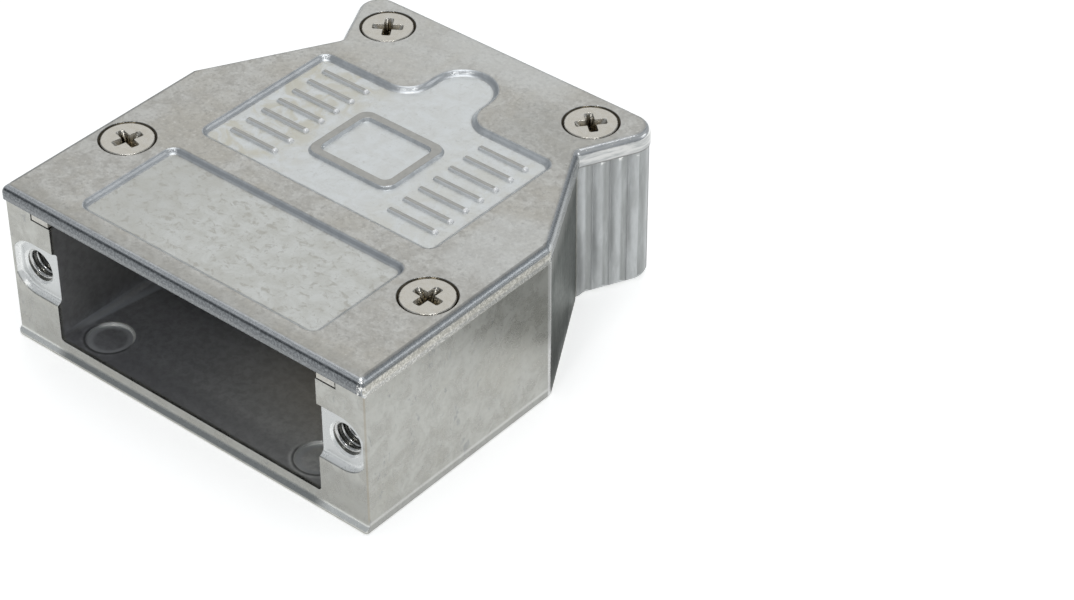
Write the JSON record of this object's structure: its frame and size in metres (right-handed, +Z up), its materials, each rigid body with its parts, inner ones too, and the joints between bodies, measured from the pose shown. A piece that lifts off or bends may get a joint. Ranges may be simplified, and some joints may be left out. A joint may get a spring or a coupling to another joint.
{
  "type": "die-cast connector hood",
  "caption": "Die-cast metal hood for a D-shaped cable connector: an open-mouthed shell with ribbed grips at the cable end and a recessed cover held by countersunk screws",
  "frame": {"origin": "middle of the hood's bottom plane, halfway between the cover's front edge and rear edge", "axes": "+X across the hood, +Y towards the cable end with the connector mouth facing -Y, +Z up out of the cover"},
  "size_m": [0.0386, 0.0402, 0.015],
  "materials": {
    "cast_body": "satin cast zinc",
    "cast_cover": "satin cast zinc",
    "plated_screw": "satin nickel plate"
  },
  "bodies": {
    "root": {"lower_shell": "cast_body", "cover": "cast_cover", "cover_screw_front_left": "plated_screw", "cover_screw_front_right": "plated_screw", "cover_screw_rear_left": "plated_screw", "cover_screw_rear_right": "plated_screw"}
  },
  "joints": []
}
